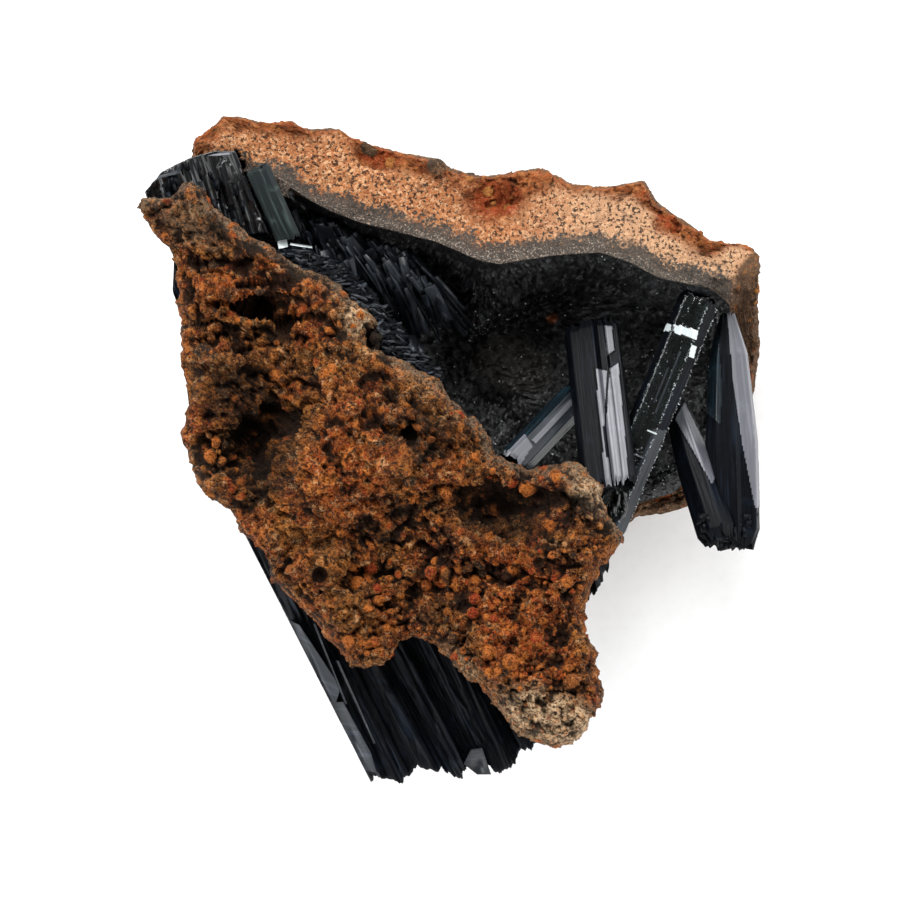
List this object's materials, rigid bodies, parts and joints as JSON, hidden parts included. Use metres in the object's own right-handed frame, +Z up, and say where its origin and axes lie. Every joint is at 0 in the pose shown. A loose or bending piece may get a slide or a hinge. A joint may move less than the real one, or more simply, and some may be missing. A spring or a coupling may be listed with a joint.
{
  "type": "vivianite crystal specimen on ironstone matrix",
  "caption": "Mineral specimen: dark blue-green vivianite prisms cross a crystal-lined hollow between slabs of rusty oolitic ironstone.",
  "frame": {"origin": "middle of the footprint, on the surface that the back slab rests on", "axes": "+Y towards the back slab's broken face, along the longest extent; +Z up, out of the hollow, along the shortest extent"},
  "size_m": [0.0987, 0.1066, 0.0566],
  "materials": {
    "weathered_ironstone": "rough, weathered, granular",
    "broken_ironstone": "rough, freshly broken, speckled",
    "drusy_vivianite": "fine sparkling crystal crust",
    "dark_vivianite": "glassy to pearly, striated cleavage",
    "cleaved_vivianite": "pearly cleavage faces",
    "clear_vivianite": "glassy, deep green-black, see-through at thin edges"
  },
  "bodies": {
    "root": {"matrix_front": "weathered_ironstone", "matrix_back": "broken_ironstone", "vivianite_druse": "drusy_vivianite", "lower_blades": "dark_vivianite", "upper_block": "dark_vivianite", "fringe_blades": "dark_vivianite", "cleaved_blade": "cleaved_vivianite", "short_prism": "cleaved_vivianite", "prism_pair": "cleaved_vivianite", "long_prism": "clear_vivianite", "right_prisms": "cleaved_vivianite"}
  },
  "joints": []
}
